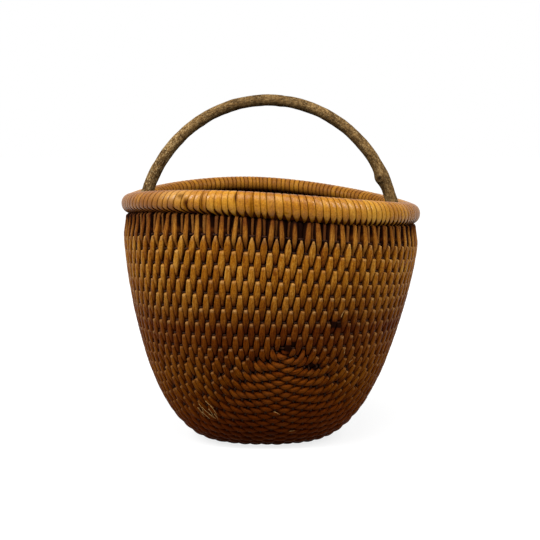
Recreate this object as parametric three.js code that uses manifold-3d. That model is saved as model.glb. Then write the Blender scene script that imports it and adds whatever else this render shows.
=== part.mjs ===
// Handled basket of peeled willow. Its stakes are long rods bent into a U: each comes down one side,
// crosses the bottom and goes up the other side. In front and behind they turn round a point, the rose.
// A lashed rim of two hoops holds their tops, and a bent branch is the handle.
// Millimetres and degrees, +Z up, front at -Y, origin on the floor under the middle of the rim.

import * as THREE from 'three';
import Module from 'manifold-3d';

const wasm = await Module();
wasm.setup();

// Wall line, halfway through the wall, as half widths at the sides and heights over the floor. The
// belly bows out a little past the shoulder.
const flatRadius = 57;
const cornerReach = 94;
const bellyBow = 2.5;
const bellyHeight = 253;
const shoulderRadius = 176;
const shoulderHeight = 258;
const shoulderDepth = 164;
const planSquareness = 2.4;
const bottomLean = -7.5;

// Stakes: how far they stand out of and into the wall line, in the weave and bare under the rim
const rodCrest = 4;
const rodGroove = 2.2;
const rodInside = 3.5;
const stakeInset = 7;
const stakeCrest = 2.2;
const stakeGroove = 1.2;
const stakeInside = 2.2;
const stakeGap = 7;
const stakeTopDrop = 3;
const bandCount = 27;
const rodsInBand = 3;
const bandGap = 0.3;
const floorCut = 0.5;

// Roses: their height, their eye and how far they are turned from dead ahead
const roseHeight = 128;
const roseEye = 1.2;
const roseTurn = 7.5;

// Wefts: thin rods on the inside of the stakes
const weftRows = 9;
const weftWidth = 3.2;
const weftDepth = 2.6;
const baseWeftCount = 6;
const bandsBeforeWefts = 2;
const seatGap = 0.5;

// Rim: hoops and lashing, with the rim's mean height. It is saddled, tilted to the right and to the
// front, and a little wavy. The outer hoop is deepest in front and tapers from there.
const rimHeight = 305;
const rimSaddle = 8.2;
const rimTilt = 7.4;
const rimNod = 0.8;
const rimWaver = 1.9;
const waverTurn = 49;
const hoopHeight = 28;
const hoopTaper = 7;
const deepestAngle = -75;
const innerHoopHeight = 15.5;
const outerHoopThickness = 9;
const innerHoopThickness = 8;
const hoopGap = 0.5;
const rimSquareness = 2.6;
const stripThickness = 1.4;
const stripGap = 0.5;
const stripWidth = 17.6;
const stripWaist = 4;
const stripShoulder = 8;
const freeGapsAtFoot = 2;

// Handle: a bent branch, an arch of half an ellipse on two feet inside the wall. The arch is drawn in
// a little from its feet.
const archDraw = 0.7;
const archRise = 166.5;
const archCentreHeight = 250;
const archShift = -3.3;
const archFootHeight = 300;
const legSeatHeight = 248;
const legTip = 24;
const crownRadius = 7;
const footRadius = 8;
const knotHeight = 323;
const knotBulge = 2.4;
const knotLength = 13;
const footClearance = 0.3;
const legClearance = 0.2;

// Pegs through the handle's feet, under the inner hoop
const pegRadius = 2.5;
const pegLength = 38;
const pegGap = 0.25;
const pegUnderHoop = 0.5;

// Faceting
const crossSteps = 10;
const wallSteps = 2;
const hoopSteps = 54;
const rimSteps = 12;
const archSteps = 8;
const handleSteps = 26;
const handleSides = 10;
const pegSides = 10;

const legStep = 180 / bandCount;
const depthShare = shoulderDepth / shoulderRadius;
const floorLine = rodCrest - floorCut;
const stakeRadius = shoulderRadius - stakeInset;
const stripReach = stripGap + stripThickness;
const hoopMiddle = rimHeight - stripReach - hoopHeight / 2;
const stakeFoot = hoopMiddle - hoopHeight / 2;
const stakeTop = hoopMiddle + hoopHeight / 2 - stakeTopDrop;

const { degToRad, radToDeg, smoothstep, lerp } = THREE.MathUtils;
const sine = (degrees) => Math.sin(degToRad(degrees));
const cosine = (degrees) => Math.cos(degToRad(degrees));

// The wall line from the middle of the bottom to the top of the stakes

const wallLine = new THREE.Path();
wallLine.moveTo(0, floorLine);
wallLine.lineTo(flatRadius, floorLine);
wallLine.bezierCurveTo(
  flatRadius + cornerReach, floorLine,
  shoulderRadius + bellyBow, bellyHeight,
  shoulderRadius, shoulderHeight,
);
wallLine.lineTo(stakeRadius, stakeFoot);
wallLine.lineTo(stakeRadius, stakeTop);
const [, weaveEnd, footEnd, wallEnd] = wallLine.getCurveLengths();

const closeEnough = 1e-6;

function lengthAtHeight(height) {
  let low = flatRadius;
  let high = wallEnd;
  while (high - low > closeEnough) {
    const middle = (low + high) / 2;
    if (wallLine.getPoint(middle / wallEnd).y < height) {
      low = middle;
    } else {
      high = middle;
    }
  }
  return low;
}

const roseLength = lengthAtHeight(roseHeight);

// The rim rises in front and behind, and its left side is higher than its right

function rimWave(angle) {
  return (
    rimNod * sine(angle)
    - rimTilt * cosine(angle)
    - rimSaddle * cosine(2 * angle)
    + rimWaver * cosine(3 * angle + waverTurn)
  );
}

// Seen from above, the basket is an oval drawn a little towards a rounded rectangle

function planReach(angle) {
  const sum = Math.abs(cosine(angle)) ** planSquareness + Math.abs(sine(angle)) ** planSquareness;
  return sum ** (-1 / planSquareness);
}

function wallPoint(length, angle, out) {
  const share = length / wallEnd;
  const line = wallLine.getPoint(share);
  const way = wallLine.getTangent(share);
  const radius = (line.x + out * way.y) * planReach(angle);
  const height = line.y - out * way.x;
  const lean = bottomLean * Math.max(0, 1 - height / shoulderHeight);
  const wave = rimWave(angle) * smoothstep(length, roseLength, weaveEnd);
  return new THREE.Vector3(
    lean + radius * cosine(angle),
    depthShare * radius * sine(angle),
    height + wave,
  );
}

// A closed body through rings of points, either round again to the first or capped at both ends.
// The last side is split the other way, so that bands side by side split the face they share alike.

function loft(rings, capOutline) {
  const count = rings[0].length;
  const spans = capOutline ? rings.length - 1 : rings.length;
  const index = [];
  for (let i = 0; i < spans; i += 1) {
    const here = i * count;
    const next = ((i + 1) % rings.length) * count;
    for (let j = 0; j < count; j += 1) {
      const k = (j + 1) % count;
      if (k > 0) {
        index.push(here + j, here + k, next + k);
        index.push(here + j, next + k, next + j);
      } else {
        index.push(here + j, here, next + j);
        index.push(here, next, next + j);
      }
    }
  }
  if (capOutline) {
    const last = spans * count;
    const clockwise = THREE.ShapeUtils.isClockWise(capOutline);
    for (const face of THREE.ShapeUtils.triangulateShape(capOutline, [])) {
      const [a, b, c] = clockwise ? face.reverse() : face;
      index.push(c, b, a);
      index.push(last + a, last + b, last + c);
    }
  }
  return facingOut(rings.flat(), index);
}

function facingOut(points, index) {
  const normal = new THREE.Vector3();
  let volume = 0;
  for (let i = 0; i < index.length; i += 3) {
    normal.crossVectors(points[index[i]], points[index[i + 1]]);
    volume += normal.dot(points[index[i + 2]]);
  }
  const geometry = new THREE.BufferGeometry().setFromPoints(points);
  geometry.setIndex(volume < 0 ? index.reverse() : index);
  return geometry;
}

function roundOutline(sides) {
  const outline = [];
  for (let i = 0; i < sides; i += 1) {
    const turn = (360 * i) / sides;
    outline.push(new THREE.Vector2(cosine(turn), sine(turn)));
  }
  return outline;
}

// Cuts, on solids whose vertices are shared

function toSolid(geometry) {
  return new wasm.Manifold(new wasm.Mesh({
    numProp: 3,
    vertProperties: new Float32Array(geometry.attributes.position.array),
    triVerts: new Uint32Array(geometry.index.array),
  }));
}

function toGeometry(solid) {
  const mesh = solid.getMesh();
  const geometry = new THREE.BufferGeometry();
  geometry.setAttribute('position', new THREE.BufferAttribute(mesh.vertProperties, 3));
  geometry.setIndex(new THREE.BufferAttribute(mesh.triVerts, 1));
  return geometry;
}

function boxBelowFloor() {
  const size = 2 * (shoulderRadius + rodCrest);
  const corners = [[-1, -1], [1, -1], [1, 1], [-1, 1]];
  const ring = (height) => corners.map(([x, y]) => new THREE.Vector3(x * size, y * size, height));
  const outline = corners.map(([x, y]) => new THREE.Vector2(x, y));
  return toSolid(loft([ring(-size), ring(0)], outline));
}

const belowFloor = boxBelowFloor();

function cutFlatAtFloor(geometry) {
  geometry.computeBoundingBox();
  if (geometry.boundingBox.min.z >= 0) {
    return geometry;
  }
  return toGeometry(toSolid(geometry).subtract(belowFloor));
}

// Bands of stakes. A rod's place is its angle from the front rose. The part that crosses the bottom
// turns about the line through both roses, and the two legs go straight up from the roses' height.

const edgeInset = (bandGap / 2) * (90 / roseLength);
const eyeInset = roseEye * (90 / roseLength);
const stakeShare = 1 - stakeGap / (degToRad(legStep) * stakeRadius);

function crossPlace(rodAngle, turn) {
  const drop = Math.min(1, sine(rodAngle) * sine(turn));
  return {
    length: (roseLength * Math.acos(drop)) / (Math.PI / 2),
    angle: radToDeg(Math.atan2(-cosine(rodAngle), -sine(rodAngle) * cosine(turn))) + roseTurn,
  };
}

function legPlace(rodAngle, side, length) {
  return { length, angle: -90 + side * rodAngle + roseTurn };
}

function bandOutline(crest, groove, inside) {
  const outline = [new THREE.Vector2(0, groove)];
  for (let rod = 0; rod < rodsInBand; rod += 1) {
    outline.push(new THREE.Vector2((rod + 0.5) / rodsInBand, crest));
    outline.push(new THREE.Vector2((rod + 1) / rodsInBand, groove));
  }
  outline.push(new THREE.Vector2(1, -inside));
  outline.push(new THREE.Vector2(0, -inside));
  return outline;
}

const weaveOutline = bandOutline(rodCrest, rodGroove, rodInside);
const stakeOutline = bandOutline(stakeCrest, stakeGroove, stakeInside);

function bandGeometry(band) {
  const first = band * legStep + (band === 0 ? eyeInset : edgeInset);
  const last = (band + 1) * legStep - (band === bandCount - 1 ? eyeInset : edgeInset);
  const middle = (band + 0.5) * legStep;
  const stakeAngle = (share) => middle + (share - 0.5) * legStep * stakeShare;
  const ring = (outline, angleAt, place) => outline.map((corner) => {
    const at = place(angleAt(corner.x));
    return wallPoint(at.length, at.angle, corner.y);
  });
  const wide = (share) => lerp(first, last, share);
  const leg = (side) => {
    const rings = [];
    for (let i = 0; i < wallSteps; i += 1) {
      const length = lerp(roseLength, weaveEnd, (i + 1) / wallSteps);
      rings.push(ring(weaveOutline, wide, (angle) => legPlace(angle, side, length)));
    }
    rings.push(ring(stakeOutline, stakeAngle, (angle) => legPlace(angle, side, footEnd)));
    rings.push(ring(stakeOutline, stakeAngle, (angle) => legPlace(angle, side, wallEnd)));
    return rings;
  };
  const rings = leg(-1).reverse();
  for (let i = 0; i <= crossSteps; i += 1) {
    const turn = (180 * i) / crossSteps;
    rings.push(ring(weaveOutline, wide, (angle) => crossPlace(angle, turn)));
  }
  rings.push(...leg(1));
  return cutFlatAtFloor(loft(rings, stakeOutline));
}

// Wefts: three-sided strips that lie on the inside of the stakes, between two of their stations

function weftRing(pointAt, i, position) {
  const seat = -(rodInside + seatGap);
  const station = Math.floor(position);
  const pathPoint = (out) => pointAt(i, station, out).lerp(pointAt(i, station + 1, out), position - station);
  const centre = pathPoint(seat);
  const inward = pathPoint(seat - weftDepth);
  const side = pointAt(i, station + 1, seat).sub(pointAt(i, station, seat)).setLength(weftWidth / 2);
  return [centre.clone().add(side), centre.clone().sub(side), inward];
}

function weftRowGeometry(row) {
  const position = (wallSteps * (weftRows - row - 0.5)) / weftRows;
  const pointAt = (i, station, out) => {
    const angle = -90 + roseTurn + 2 * i * legStep;
    return wallPoint(lerp(roseLength, weaveEnd, station / wallSteps), angle, out);
  };
  const rings = [];
  for (let i = 0; i < bandCount; i += 1) {
    rings.push(weftRing(pointAt, i, position));
  }
  return loft(rings);
}

function baseWeftGeometry(number) {
  const position = (crossSteps * (number + 0.5)) / baseWeftCount;
  const pointAt = (i, station, out) => {
    const place = crossPlace(i * legStep, (180 * station) / crossSteps);
    return wallPoint(place.length, place.angle, out);
  };
  const rings = [];
  for (let i = bandsBeforeWefts; i <= bandCount - bandsBeforeWefts; i += 1) {
    rings.push(weftRing(pointAt, i, position));
  }
  return loft(rings, roundOutline(3));
}

// Rim. Its section is a rounded square, measured out from the stakes and up from the hoops' middle. Both
// hoops are level on top, and the inner one is shallower.

const outerHoopSeat = stakeCrest + hoopGap;
const innerHoopSeat = -(stakeInside + hoopGap);
const sectionMiddle = (outerHoopSeat + outerHoopThickness + innerHoopSeat - innerHoopThickness) / 2;
const sectionHalf = (outerHoopSeat + outerHoopThickness - innerHoopSeat + innerHoopThickness) / 2;

function outerHoopHeight(angle) {
  return hoopHeight - hoopTaper * (1 - Math.max(0, cosine(angle - deepestAngle)) ** 3);
}

function rimSection(angle, turn, grow, inside) {
  const power = 2 / rimSquareness;
  const round = (value) => Math.sign(value) * Math.abs(value) ** power;
  const half = (inside ? innerHoopHeight : outerHoopHeight(angle)) / 2;
  return new THREE.Vector2(
    sectionMiddle + (sectionHalf + grow) * round(cosine(turn)),
    hoopHeight / 2 - half + (half + grow) * round(sine(turn)),
  );
}

function rimPoint(angle, section) {
  const radius = (stakeRadius + section.x) * planReach(angle);
  return new THREE.Vector3(
    radius * cosine(angle),
    depthShare * radius * sine(angle),
    hoopMiddle + section.y + rimWave(angle),
  );
}

function hoopOutline(angle, outer) {
  const seat = outer ? outerHoopSeat : innerHoopSeat;
  const step = 360 / rimSteps;
  const corner = (turn) => rimSection(angle, outer ? turn : 180 - turn, 0, !outer);
  const seatCorner = (end) => {
    const share = (seat - corner(end).x) / (corner(end - Math.sign(end) * step).x - corner(end).x);
    return corner(end).lerp(corner(end - Math.sign(end) * step), share);
  };
  const outline = [seatCorner(-90)];
  for (let turn = -90 + step; turn < 90; turn += step) {
    outline.push(corner(turn));
  }
  outline.push(seatCorner(90));
  return outline;
}

function hoopRing(angle, outer) {
  return hoopOutline(angle, outer).map((corner) => rimPoint(angle, corner));
}

function outerHoopGeometry() {
  const rings = [];
  for (let i = 0; i < hoopSteps; i += 1) {
    rings.push(hoopRing(-90 + roseTurn + (i + 0.5) * (360 / hoopSteps), true));
  }
  return loft(rings);
}

function innerHoopGeometry(side) {
  const inside = depthShare * (stakeRadius + innerHoopSeat - innerHoopThickness);
  const foot = radToDeg(Math.asin((footRadius + footClearance) / inside));
  const steps = hoopSteps / 2;
  const rings = [];
  for (let i = 0; i <= steps; i += 1) {
    rings.push(hoopRing(side * lerp(foot, 180 - foot, i / steps), false));
  }
  return loft(rings, hoopOutline(side * foot, false));
}

// Lashing: one flat strip on each side of the handle. It comes out through a gap between two stakes,
// goes up over both hoops and down inside, and back through the next gap. It is narrow in the gap.

const loopsPerSide = bandCount - freeGapsAtFoot - 1;
const frontStart = Math.floor((90 - roseTurn) / legStep) - freeGapsAtFoot / 2;
const backStart = frontStart - loopsPerSide - freeGapsAtFoot - 1;

function stripHalfWidth(step) {
  const stepsFromGap = Math.min(step, rimSteps - step);
  if (stepsFromGap === 0) {
    return stripWaist / 2;
  }
  return (stepsFromGap === 1 ? stripShoulder : stripWidth) / 2;
}

function lashingGeometry(startGap, name) {
  const rings = [];
  const middleLine = stripGap + stripThickness / 2;
  for (let i = 0; i <= loopsPerSide * rimSteps; i += 1) {
    const loop = Math.floor(i / rimSteps);
    const step = i % rimSteps;
    const turn = (360 * step) / rimSteps;
    const moved = Math.max(0, (step - 1) / (rimSteps - 2));
    const angle = -90 + roseTurn + (startGap - loop - moved) * legStep;
    const spread = radToDeg(stripHalfWidth(step) / stakeRadius);
    const inner = rimSection(angle, turn - 90, middleLine - stripThickness / 2, turn > 180);
    const outer = rimSection(angle, turn - 90, middleLine + stripThickness / 2, turn > 180);
    rings.push([
      rimPoint(angle - spread, inner),
      rimPoint(angle + spread, inner),
      rimPoint(angle + spread, outer),
      rimPoint(angle - spread, outer),
    ]);
  }
  console.log(name, 'least gap to itself', leastGap(rings).toFixed(2), 'mm');
  return loft(rings, roundOutline(4));
}

function leastGap(rings) {
  let least = Infinity;
  for (let i = 0; i < rings.length; i += 1) {
    for (let j = i + rimSteps / 2; j < rings.length; j += 1) {
      for (const a of rings[i]) {
        for (const b of rings[j]) {
          least = Math.min(least, a.distanceTo(b));
        }
      }
    }
  }
  return least;
}

// Handle. Its feet stand against the stakes, or against the wefts where the wall is narrower there.

const legEndHeight = legSeatHeight - legTip;
const stakeFace = stakeRadius - stakeInside;
const weftFace = wallLine.getPoint(lengthAtHeight(legEndHeight) / wallEnd).x - rodInside - seatGap - weftDepth;
const legSeat = Math.min(stakeFace, weftFace) - legClearance - footRadius;
const archHalfSpan = legSeat - archDraw;

function handleLine() {
  const points = [];
  points.push(new THREE.Vector3(-legSeat, 0, legEndHeight));
  points.push(new THREE.Vector3(-legSeat, 0, legSeatHeight));
  const start = radToDeg(Math.asin((archFootHeight - archCentreHeight) / archRise));
  for (let i = 0; i <= archSteps; i += 1) {
    const turn = lerp(180 - start, start, i / archSteps);
    points.push(new THREE.Vector3(
      archShift + archHalfSpan * cosine(turn),
      0,
      archCentreHeight + archRise * sine(turn),
    ));
  }
  points.push(new THREE.Vector3(legSeat, 0, legSeatHeight));
  points.push(new THREE.Vector3(legSeat, 0, legEndHeight));
  return new THREE.CatmullRomCurve3(points, false, 'centripetal');
}

const handleCurve = handleLine();

function handlePointAtHeight(height, side) {
  let low = 0;
  let high = 0.5;
  while (high - low > closeEnough) {
    const middle = (low + high) / 2;
    const point = handleCurve.getPointAt(side > 0 ? 1 - middle : middle);
    if (point.z < height) {
      low = middle;
    } else {
      high = middle;
    }
  }
  return handleCurve.getPointAt(side > 0 ? 1 - low : low);
}

function handleGeometry(pegPlaces) {
  const outline = roundOutline(handleSides);
  const knot = handlePointAtHeight(knotHeight, 1);
  const across = new THREE.Vector3(0, 1, 0);
  const rings = [];
  for (let i = 0; i <= handleSteps; i += 1) {
    const share = i / handleSteps;
    const centre = handleCurve.getPointAt(share);
    const outward = across.clone().cross(handleCurve.getTangentAt(share)).normalize();
    const radius = lerp(footRadius, crownRadius, sine(180 * share));
    const nearKnot = Math.exp(-((centre.distanceTo(knot) / knotLength) ** 2));
    rings.push(outline.map((corner) => {
      const bulge = knotBulge * nearKnot * Math.max(0, -corner.x);
      return centre.clone()
        .addScaledVector(outward, (radius + bulge) * corner.x)
        .addScaledVector(across, radius * corner.y);
    }));
  }
  let solid = toSolid(loft(rings, outline));
  for (const place of pegPlaces) {
    solid = solid.subtract(toSolid(pegGeometry(place, pegRadius + pegGap)));
  }
  return toGeometry(solid);
}

function pegPlace(side) {
  const wave = rimWave(side > 0 ? 0 : 180);
  const underside = hoopMiddle + hoopHeight / 2 - innerHoopHeight + wave;
  return handlePointAtHeight(underside - pegUnderHoop - pegRadius, side);
}

function pegGeometry(place, radius) {
  const outline = roundOutline(pegSides);
  const ring = (end) => outline.map((corner) => new THREE.Vector3(
    place.x + radius * corner.x,
    place.y + (end * pegLength) / 2,
    place.z + radius * corner.y,
  ));
  return loft([ring(-1), ring(1)], outline);
}

// The basket

const basket = new THREE.Group();

function add(name, geometry, color, roughness) {
  geometry.computeVertexNormals();
  const material = new THREE.MeshStandardMaterial({ color, roughness, metalness: 0, flatShading: true });
  const mesh = new THREE.Mesh(geometry, material);
  mesh.name = name;
  basket.add(mesh);
}

const willowColors = ['#8a5a20', '#7d4f1b', '#946226'];
for (let band = 0; band < bandCount; band += 1) {
  const name = `willow_rods_${String(band + 1).padStart(2, '0')}`;
  add(name, bandGeometry(band), willowColors[band % willowColors.length], 0.5);
}
for (let row = 0; row < weftRows; row += 1) {
  add(`weft_ring_${row + 1}`, weftRowGeometry(row), '#4a2d14', 0.7);
}
for (let number = 0; number < baseWeftCount; number += 1) {
  add(`base_weft_${number + 1}`, baseWeftGeometry(number), '#4a2d14', 0.7);
}
add('rim_hoop_outer', outerHoopGeometry(), '#8f5c1c', 0.5);
add('rim_hoop_inner_front', innerHoopGeometry(-1), '#7a4d1c', 0.5);
add('rim_hoop_inner_back', innerHoopGeometry(1), '#7a4d1c', 0.5);
add('rim_lashing_front', lashingGeometry(frontStart, 'rim_lashing_front'), '#b07a2a', 0.4);
add('rim_lashing_back', lashingGeometry(backStart, 'rim_lashing_back'), '#b07a2a', 0.4);

const pegPlaces = [pegPlace(-1), pegPlace(1)];
add('handle', handleGeometry(pegPlaces), '#7c6749', 0.8);
add('handle_peg_left', pegGeometry(pegPlaces[0], pegRadius), '#6f4e2a', 0.7);
add('handle_peg_right', pegGeometry(pegPlaces[1], pegRadius), '#6f4e2a', 0.7);

export default basket;
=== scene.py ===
"""A handled basket of peeled willow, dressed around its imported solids.

The stakes are long rods bent into a U and woven over one, under one, through thin dark wefts. In front
and behind they turn round a rose. A rim of two lashed hoops holds their tops. A bent branch is the handle.
Sizes are in millimetres and angles in degrees until a mesh is made, in metres.
"""
import math
import bpy
import numpy as np
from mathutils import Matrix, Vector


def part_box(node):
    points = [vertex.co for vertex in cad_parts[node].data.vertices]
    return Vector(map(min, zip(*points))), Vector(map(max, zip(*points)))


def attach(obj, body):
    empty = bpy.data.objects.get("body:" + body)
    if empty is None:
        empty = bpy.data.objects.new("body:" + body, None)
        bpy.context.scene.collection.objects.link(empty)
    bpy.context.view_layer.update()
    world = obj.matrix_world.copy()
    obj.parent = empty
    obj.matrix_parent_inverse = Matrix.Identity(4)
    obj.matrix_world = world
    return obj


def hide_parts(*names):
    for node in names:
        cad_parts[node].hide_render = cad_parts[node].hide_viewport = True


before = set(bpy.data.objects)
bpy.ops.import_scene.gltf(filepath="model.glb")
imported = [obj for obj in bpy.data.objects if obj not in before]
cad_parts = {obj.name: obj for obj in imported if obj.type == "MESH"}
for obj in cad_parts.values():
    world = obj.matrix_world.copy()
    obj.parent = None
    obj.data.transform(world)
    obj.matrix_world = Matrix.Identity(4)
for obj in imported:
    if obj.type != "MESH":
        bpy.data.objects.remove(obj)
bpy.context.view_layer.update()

# Wall line, halfway through the wall, as half widths at the sides and heights over the floor
FLAT_RADIUS = 57
CORNER_REACH = 94
BELLY_BOW = 2.5
BELLY_HEIGHT = 253
SHOULDER_RADIUS = 176
SHOULDER_HEIGHT = 258
DEPTH_SHARE = 164 / SHOULDER_RADIUS
PLAN_SQUARENESS = 2.4
BOTTOM_LEAN = -7.5
FLOOR_LINE = 3.5
STAKE_INSET = 7
STAKE_RADIUS = SHOULDER_RADIUS - STAKE_INSET

# Rim
HOOP_MIDDLE = 289.1
HOOP_HEIGHT = 28
HOOP_TAPER = 7
DEEPEST_ANGLE = -75
HOOP_TAPER_POWER = 3
INNER_HOOP_HEIGHT = 15.5
RIM_SADDLE = 8.2
RIM_TILT = 7.4
RIM_NOD = 0.8
RIM_WAVER = 1.9
WAVER_TURN = 49
SECTION_MIDDLE = 0.5
SECTION_HALF = 11.2
SECTION_SQUARENESS = 2.6
LASHING_SQUARENESS = 2.1
OUTER_SEAT = 2.7
INNER_SEAT = -2.7
STAKE_FOOT = HOOP_MIDDLE - HOOP_HEIGHT / 2
STAKE_TOP_DROP = 3
STAKE_TOP = HOOP_MIDDLE + HOOP_HEIGHT / 2 - STAKE_TOP_DROP

# Stakes
ROD_COUNT = 81
RODS_IN_BAND = 3
ROD_STEP = 180 / ROD_COUNT
ROSE_HEIGHT = 128
ROSE_TURN = 7.5
ROD_SIDES = 14
ROD_THICKNESS = 2.2
OVER = 1.9
UNDER = -1.9
INNER_LIMIT = -0.01
KEEL_LEVEL = -3.1
KEEL_POWER = 0.32
FACE_POWER = 0.8

# Wefts
ROWS = 9
TOP_ROW_DROP = 3
ROW_PITCH = 16.3
ROW_SHRINK = 0.07
ROSE_PITCH = 9.8
BOTTOM_PITCH = 13.2
WEFT_RADIUS = 1.2
WEFT_OVER = 1.3
WEFT_UNDER = -3.0
BASE_WEFT_GROUPS = 6

# Random numbers: each stake has the stream of its own number, the rest has these
SEED = 7
STREAMS = {"strip_edges": 500, "strips": 600, "bark": 700, "pegs": 800, "fibres": 900}

MM = 0.001


def smoothstep(value, low, high):
    share = np.clip((value - low) / (high - low), 0, 1)
    return share * share * (3 - 2 * share)


def bell(value, middle, spread):
    """1 at the middle, falling off on both sides."""
    return np.exp(-((value - middle) / spread) ** 2)


def sine(degrees):
    return np.sin(np.radians(degrees))


def cosine(degrees):
    return np.cos(np.radians(degrees))


def around(count):
    """Even angles all the way round."""
    return np.linspace(0, 360, count, endpoint=False)


def random_stream(number):
    return np.random.default_rng([SEED, number])


def signed_power(value, power):
    return np.sign(value) * np.abs(value) ** power


def unit(vectors):
    return vectors / np.maximum(np.linalg.norm(vectors, axis=-1, keepdims=True), 1e-9)


def together(*values):
    """Stacks values on a last axis, each spread to the shape that they share."""
    return np.stack(np.broadcast_arrays(*values), -1)


def lengths_along(points):
    """The length along a line of points, at each of them."""
    return np.concatenate([[0], np.cumsum(np.linalg.norm(np.diff(points, axis=0), axis=1))])


def points_at(places, known, points):
    """Points at some places, between points at known places."""
    return np.stack([np.interp(places, known, axis) for axis in points.T], -1)


# The wall line and the points on it

LINE_STEPS = 400
TANGENT_STEP = 1.5


def sampled_wall_line():
    share = np.linspace(0, 1, LINE_STEPS)[:, None]
    corners = [
        (FLAT_RADIUS, FLOOR_LINE),
        (FLAT_RADIUS + CORNER_REACH, FLOOR_LINE),
        (SHOULDER_RADIUS + BELLY_BOW, BELLY_HEIGHT),
        (SHOULDER_RADIUS, SHOULDER_HEIGHT),
    ]
    a, b, c, d = [np.array(corner, float) for corner in corners]
    left = 1 - share
    curve = left**3 * a + 3 * left**2 * share * b + 3 * left * share**2 * c + share**3 * d
    return np.vstack([[0, FLOOR_LINE], curve, [STAKE_RADIUS, STAKE_FOOT], [STAKE_RADIUS, STAKE_TOP]])


LINE_POINTS = sampled_wall_line()
LINE_LENGTHS = lengths_along(LINE_POINTS)
WEAVE_END, FOOT_END, WALL_END = LINE_LENGTHS[-3:]
ROSE_LENGTH = float(np.interp(ROSE_HEIGHT, LINE_POINTS[1:-2, 1], LINE_LENGTHS[1:-2]))


def line_at(length):
    """Half width and height at a length up the wall line."""
    return points_at(length, LINE_LENGTHS, LINE_POINTS)


def rim_wave(angle):
    wave = RIM_NOD * sine(angle) - RIM_TILT * cosine(angle) - RIM_SADDLE * cosine(2 * angle)
    return wave + RIM_WAVER * cosine(3 * angle + WAVER_TURN)


def plan_reach(angle):
    """How far the plan reaches past an oval, towards a rounded rectangle."""
    total = np.abs(cosine(angle)) ** PLAN_SQUARENESS + np.abs(sine(angle)) ** PLAN_SQUARENESS
    return total ** (-1 / PLAN_SQUARENESS)


def wall_point(length, angle, out):
    """The point at a length up the wall line, at an angle, and so far out of the wall."""
    length, angle, out = np.broadcast_arrays(length, angle, out)
    line = line_at(length)
    way = unit(line_at(length + TANGENT_STEP) - line_at(length - TANGENT_STEP))
    radius = (line[..., 0] + out * way[..., 1]) * plan_reach(angle)
    height = line[..., 1] - out * way[..., 0]
    lean = BOTTOM_LEAN * np.maximum(0, 1 - height / SHOULDER_HEIGHT)
    wave = rim_wave(angle) * smoothstep(length, ROSE_LENGTH, WEAVE_END)
    return together(lean + radius * cosine(angle), DEPTH_SHARE * radius * sine(angle), height + wave)


# A rod's way: down its left leg for places below 0, across the bottom from 0 to 180, up its right leg

LEG = WALL_END - ROSE_LENGTH
LEG_SAMPLES = 200
BOTTOM_SAMPLES = 500
ROSE_PITCH_DEPTHS = (20, 60)


def rod_place(alpha, place):
    """Length up the wall line and angle of the rod that passes alpha degrees from the front rose."""
    turn = np.clip(place, 0, 180)
    beyond = np.maximum(-place, 0) + np.maximum(place - 180, 0)
    drop = np.clip(sine(alpha) * sine(turn), -1, 1)
    length = ROSE_LENGTH * np.arccos(drop) / (np.pi / 2) + beyond
    angle = np.degrees(np.arctan2(-cosine(alpha) + 0 * turn, -sine(alpha) * cosine(turn)))
    return length, angle + ROSE_TURN


def rod_point(alpha, place, out=0):
    return wall_point(*rod_place(alpha, place), out)


class Rod:
    """One U-shaped stake: its way through the wall and where it crosses the wefts."""

    def __init__(self, number):
        self.number = number
        self.alpha = (number + 0.5) * ROD_STEP
        self.places = np.concatenate([
            np.linspace(-LEG, 0, LEG_SAMPLES)[:-1],
            np.linspace(0, 180, BOTTOM_SAMPLES),
            np.linspace(180, 180 + LEG, LEG_SAMPLES)[1:],
        ])
        self.lengths = lengths_along(rod_point(self.alpha, self.places))
        self.end = self.lengths[-1]
        self.cross()

    def length_at(self, place):
        return float(np.interp(place, self.places, self.lengths))

    def place_at(self, length):
        return np.interp(length, self.lengths, self.places)

    def cross(self):
        """Lists the crossings as (length, outside or not), and those with the base wefts by number."""
        rows = [row_length(row) - ROSE_LENGTH for row in range(ROWS)]
        number = self.number
        left = [(self.length_at(-rows[row]), (number + 1 + row) % 2 == 0) for row in range(ROWS)]
        right = [(self.length_at(180 + rows[row]), (number + row) % 2 == 0) for row in range(ROWS)]
        middle = self.length_at(90)
        depth = min(self.alpha, 180 - self.alpha)
        pitch = ROSE_PITCH + (BOTTOM_PITCH - ROSE_PITCH) * smoothstep(depth, *ROSE_PITCH_DEPTHS)
        reach = min(middle - left[-1][0], right[-1][0] - middle)
        count = 2 * max(0, round((reach / pitch - 0.5) / 2))
        self.base = {}
        for weft in range(count):
            share = (weft + 0.5) / (count + 0.5)
            spare = reach - (count + 0.5) * pitch
            away = (weft + 0.5) * pitch + spare * share**2
            self.base[weft] = (middle + away, (number + weft) % 2 == 0)
            self.base[-1 - weft] = (middle - away, (number + 1 + weft) % 2 == 0)
        self.crossings = sorted(left + list(self.base.values()) + right)
        states = [outside for _, outside in self.crossings]
        assert all(a != b for a, b in zip(states, states[1:])), number


def row_length(row):
    """Length up the wall line of a weft row, counted down from the top one."""
    return WEAVE_END - TOP_ROW_DROP - ROW_PITCH * row + ROW_SHRINK * row**2


def put(name, data):
    """Makes an object of the data and puts it in the scene."""
    made = bpy.data.objects.new(name, data)
    bpy.context.scene.collection.objects.link(made)
    return made


# Meshes made of rings of points. The marks at a point are its tone, its dirt and painted shade, its wear and
# painted sheen, and its redness, from 0 to 1

PATTERN_STEPS = (97, 31)


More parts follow.
